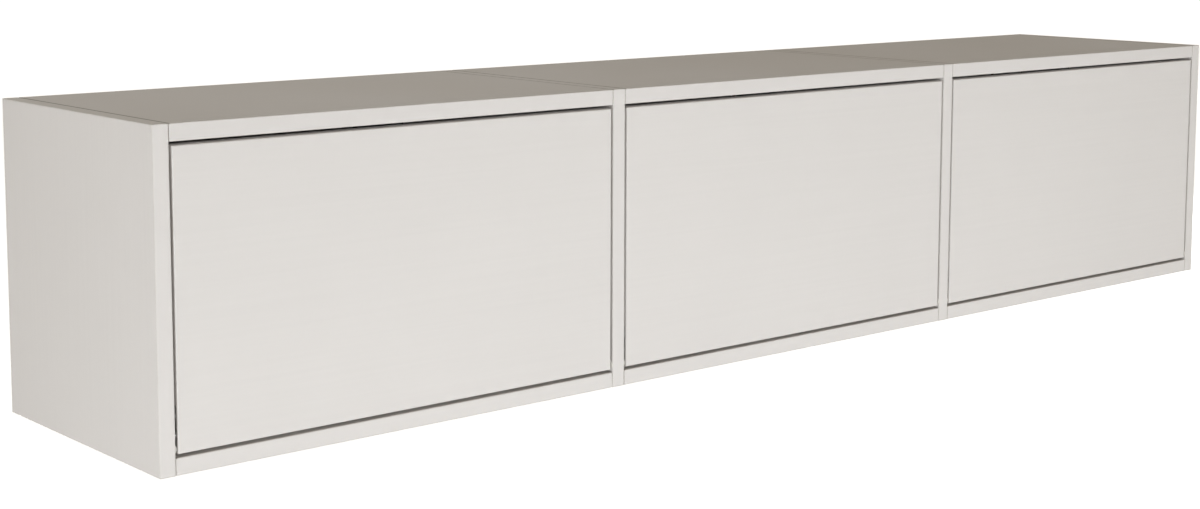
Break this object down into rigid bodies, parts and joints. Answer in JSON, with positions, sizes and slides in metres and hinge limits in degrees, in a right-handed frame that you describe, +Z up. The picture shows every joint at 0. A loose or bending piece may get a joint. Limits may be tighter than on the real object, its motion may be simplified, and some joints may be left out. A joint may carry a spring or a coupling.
{
  "type": "floating media console",
  "caption": "Long wall-hung media console of flat lacquered boards, with drop-down flaps, damped stays, push latches and rear cable cut-outs.",
  "frame": {"origin": "on the wall plane, at the centre of the middle hanging rail's two screw holes", "axes": "+X along the wall to the right as seen from the room, +Y into the wall, +Z up; the flaps face -Y"},
  "size_m": [1.776, 0.34, 0.35],
  "materials": {
    "carcass_lacquer": "matt warm off-white lacquer on 18 mm board",
    "front_lacquer": "matt warm off-white lacquer on 18 mm board",
    "back_board": "thin lacquered fibreboard",
    "rail_board": "bare fibreboard",
    "plywood": "birch plywood",
    "steel": "nickel-plated steel",
    "zinc": "nickel-plated zinc casting",
    "damper_plastic": "grey moulded plastic",
    "nylon": "natural nylon",
    "latch_plastic": "mid-grey moulded plastic",
    "latch_rod": "dark plastic rod with a magnet tip"
  },
  "bodies": {
    "cabinet": {"left_side_panel": "carcass_lacquer", "left_divider": "carcass_lacquer", "right_divider": "carcass_lacquer", "right_side_panel": "carcass_lacquer", "joint_tongues": "plywood", "left_top_panel": "carcass_lacquer", "left_bottom_panel": "carcass_lacquer", "left_back_panel": "back_board", "left_hanging_rail": "rail_board", "left_stay_damper": "damper_plastic", "left_latch_housing": "latch_plastic", "left_pivot_bushes": "nylon", "middle_top_panel": "carcass_lacquer", "middle_bottom_panel": "carcass_lacquer", "middle_back_panel": "back_board", "middle_hanging_rail": "rail_board", "middle_stay_damper": "damper_plastic", "middle_latch_housing": "latch_plastic", "middle_pivot_bushes": "nylon", "right_top_panel": "carcass_lacquer", "right_bottom_panel": "carcass_lacquer", "right_back_panel": "back_board", "right_hanging_rail": "rail_board", "right_stay_damper": "damper_plastic", "right_latch_housing": "latch_plastic", "right_pivot_bushes": "nylon"},
    "left_flap": {"left_flap": "front_lacquer", "left_flap_pivot_pins": "steel", "left_flap_bracket": "zinc", "left_strike_plate": "steel"},
    "left_stay_arm": {"left_stay_arm": "steel"},
    "left_stay_link": {"left_stay_link": "steel"},
    "left_latch_plunger": {"left_latch_plunger": "latch_rod"},
    "middle_flap": {"middle_flap": "front_lacquer", "middle_flap_pivot_pins": "steel", "middle_flap_bracket": "zinc", "middle_strike_plate": "steel"},
    "middle_stay_arm": {"middle_stay_arm": "steel"},
    "middle_stay_link": {"middle_stay_link": "steel"},
    "middle_latch_plunger": {"middle_latch_plunger": "latch_rod"},
    "right_flap": {"right_flap": "front_lacquer", "right_flap_pivot_pins": "steel", "right_flap_bracket": "zinc", "right_strike_plate": "steel"},
    "right_stay_arm": {"right_stay_arm": "steel"},
    "right_stay_link": {"right_stay_link": "steel"},
    "right_latch_plunger": {"right_latch_plunger": "latch_rod"}
  },
  "joints": [
    {"name": "left_flap_hinge", "type": "hinge", "parent": "cabinet", "child": "left_flap", "pos_m": [-0.586, -0.334, -0.2655], "axis": [1, 0, 0], "range_deg": [0, 90]},
    {"name": "left_arm_pivot", "type": "hinge", "parent": "cabinet", "child": "left_stay_arm", "pos_m": [-0.316, -0.222, -0.2075], "axis": [1, 0, 0], "range_deg": [0, 90]},
    {"name": "left_elbow", "type": "hinge", "parent": "left_stay_arm", "child": "left_stay_link", "pos_m": [-0.3209, -0.197, -0.0655], "axis": [1, 0, 0], "range_deg": [-90, 0]},
    {"name": "left_latch_slide", "type": "slide", "parent": "cabinet", "child": "left_latch_plunger", "axis": [0, -1, 0], "range_m": [0, 0.017]},
    {"name": "middle_flap_hinge", "type": "hinge", "parent": "cabinet", "child": "middle_flap", "pos_m": [0, -0.334, -0.2655], "axis": [1, 0, 0], "range_deg": [0, 90]},
    {"name": "middle_arm_pivot", "type": "hinge", "parent": "cabinet", "child": "middle_stay_arm", "pos_m": [0.27, -0.222, -0.2075], "axis": [1, 0, 0], "range_deg": [0, 90]},
    {"name": "middle_elbow", "type": "hinge", "parent": "middle_stay_arm", "child": "middle_stay_link", "pos_m": [0.2651, -0.197, -0.0655], "axis": [1, 0, 0], "range_deg": [-90, 0]},
    {"name": "middle_latch_slide", "type": "slide", "parent": "cabinet", "child": "middle_latch_plunger", "axis": [0, -1, 0], "range_m": [0, 0.017]},
    {"name": "right_flap_hinge", "type": "hinge", "parent": "cabinet", "child": "right_flap", "pos_m": [0.586, -0.334, -0.2655], "axis": [1, 0, 0], "range_deg": [0, 90]},
    {"name": "right_arm_pivot", "type": "hinge", "parent": "cabinet", "child": "right_stay_arm", "pos_m": [0.856, -0.222, -0.2075], "axis": [1, 0, 0], "range_deg": [0, 90]},
    {"name": "right_elbow", "type": "hinge", "parent": "right_stay_arm", "child": "right_stay_link", "pos_m": [0.8511, -0.197, -0.0655], "axis": [1, 0, 0], "range_deg": [-90, 0]},
    {"name": "right_latch_slide", "type": "slide", "parent": "cabinet", "child": "right_latch_plunger", "axis": [0, -1, 0], "range_m": [0, 0.017]}
  ],
  "couplings": [
    {"joint": "left_arm_pivot", "follows": "left_flap_hinge", "ratio": 1},
    {"joint": "left_elbow", "follows": "left_flap_hinge", "ratio": -1},
    {"joint": "left_latch_slide", "follows": "left_flap_hinge", "m_per_rad": 0.010822},
    {"joint": "middle_arm_pivot", "follows": "middle_flap_hinge", "ratio": 1},
    {"joint": "middle_elbow", "follows": "middle_flap_hinge", "ratio": -1},
    {"joint": "middle_latch_slide", "follows": "middle_flap_hinge", "m_per_rad": 0.010822},
    {"joint": "right_arm_pivot", "follows": "right_flap_hinge", "ratio": 1},
    {"joint": "right_elbow", "follows": "right_flap_hinge", "ratio": -1},
    {"joint": "right_latch_slide", "follows": "right_flap_hinge", "m_per_rad": 0.010822}
  ]
}
